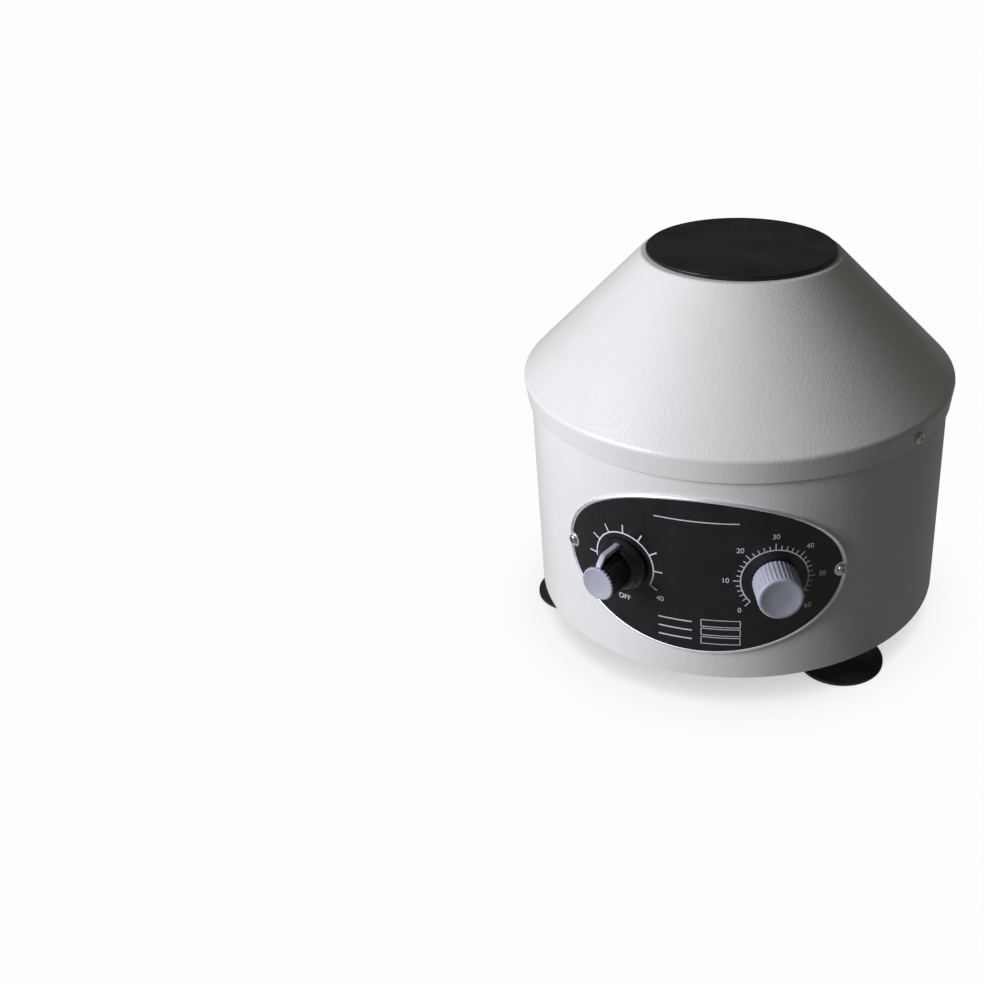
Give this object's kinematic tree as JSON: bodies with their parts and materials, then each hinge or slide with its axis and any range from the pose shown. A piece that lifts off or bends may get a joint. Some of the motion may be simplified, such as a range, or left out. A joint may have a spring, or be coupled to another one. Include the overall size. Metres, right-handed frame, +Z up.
{
  "type": "benchtop centrifuge",
  "caption": "Round benchtop centrifuge with a conical cover, a lift-off lid over an angled tube rotor, and a wrapped panel with speed and timer knobs.",
  "frame": {"origin": "on the rotor's axis, in the plane of the feet on the bench", "axes": "+Z up along the rotor's axis, -Y out of the middle of the control panel, +X to the right seen from the front"},
  "size_m": [0.226, 0.2431, 0.2022],
  "materials": {
    "housing_paint": "semi-gloss powder coat",
    "base_paint": "satin paint",
    "lid_plastic": "satin moulded",
    "seal_rubber": "matt",
    "faceplate_metal": "bright edge",
    "overlay_film": "satin film",
    "zinc_steel": "zinc plated",
    "turned_steel": "turned",
    "lamination_steel": "laminated",
    "sheet_steel": "rolled sheet",
    "rotor_metal": "cast and turned",
    "sleeve_metal": "drawn",
    "motor_casting": "die cast",
    "copper_wire": "enamelled copper",
    "copper_bars": "turned copper",
    "brass_box": "bent sheet",
    "carbon": "pressed carbon",
    "black_knob": "satin moulded",
    "light_knob": "satin moulded",
    "case_plastic": "moulded",
    "terminal_plastic": "moulded",
    "board_laminate": "laminate",
    "capacitor_case": "sleeved"
  },
  "bodies": {
    "housing": {"base_plate": "base_paint", "board_bracket": "motor_casting", "board_capacitor": "capacitor_case", "board_heatsink": "motor_casting", "board_screws": "zinc_steel", "board_spacers": "brass_box", "brush_holders": "brass_box", "brushes": "carbon", "cable_grommet": "seal_rubber", "chamber_pan": "sheet_steel", "control_board": "board_laminate", "cover_screws": "zinc_steel", "faceplate": "faceplate_metal", "faceplate_overlay": "overlay_film", "faceplate_screws": "zinc_steel", "feet": "seal_rubber", "field_coils": "copper_wire", "fixing_tabs": "zinc_steel", "foot_nuts": "zinc_steel", "foot_studs": "zinc_steel", "fuse_cap": "case_plastic", "fuse_holder": "case_plastic", "lower_bearing": "turned_steel", "lower_shield": "motor_casting", "motor_mounts": "seal_rubber", "motor_plate": "sheet_steel", "mount_nuts": "zinc_steel", "mount_studs": "zinc_steel", "plate_screws": "zinc_steel", "shell": "housing_paint", "speed_pot": "sheet_steel", "speed_pot_nut": "zinc_steel", "stator_core": "lamination_steel", "terminal_block": "terminal_plastic", "tie_screws": "zinc_steel", "timer_body": "sheet_steel", "timer_nut": "zinc_steel", "top_cover": "housing_paint", "upper_bearing": "turned_steel", "upper_shield": "motor_casting"},
    "lid": {"lid": "lid_plastic", "lid_gasket": "seal_rubber"},
    "rotor": {"motor_shaft": "turned_steel", "armature_core": "lamination_steel", "armature_windings": "copper_wire", "commutator": "copper_bars", "drive_collar": "turned_steel", "rotor_head": "rotor_metal", "tube_sleeves": "sleeve_metal", "tube_cushions": "seal_rubber", "rotor_washer": "turned_steel", "rotor_nut": "turned_steel"},
    "speed_control": {"speed_shaft": "turned_steel", "speed_knob": "black_knob", "speed_knob_cap": "light_knob"},
    "timer_control": {"timer_shaft": "turned_steel", "timer_knob": "light_knob"}
  },
  "joints": [
    {"name": "lid_lift", "type": "slide", "parent": "housing", "child": "lid", "axis": [0, 0, 1], "range_m": [0, 0.1]},
    {"name": "rotor_spin", "type": "hinge", "parent": "housing", "child": "rotor", "pos_m": [0, 0, 0], "axis": [0, 0, 1], "continuous": true},
    {"name": "speed_turn", "type": "hinge", "parent": "housing", "child": "speed_control", "pos_m": [-0.03654, -0.10376, 0.0735], "axis": [-0.3322, -0.9432, 0], "range_deg": [-120, 180]},
    {"name": "timer_turn", "type": "hinge", "parent": "housing", "child": "timer_control", "pos_m": [0.03654, -0.10376, 0.0735], "axis": [0.3322, -0.9432, 0], "range_deg": [-270, 0]}
  ]
}
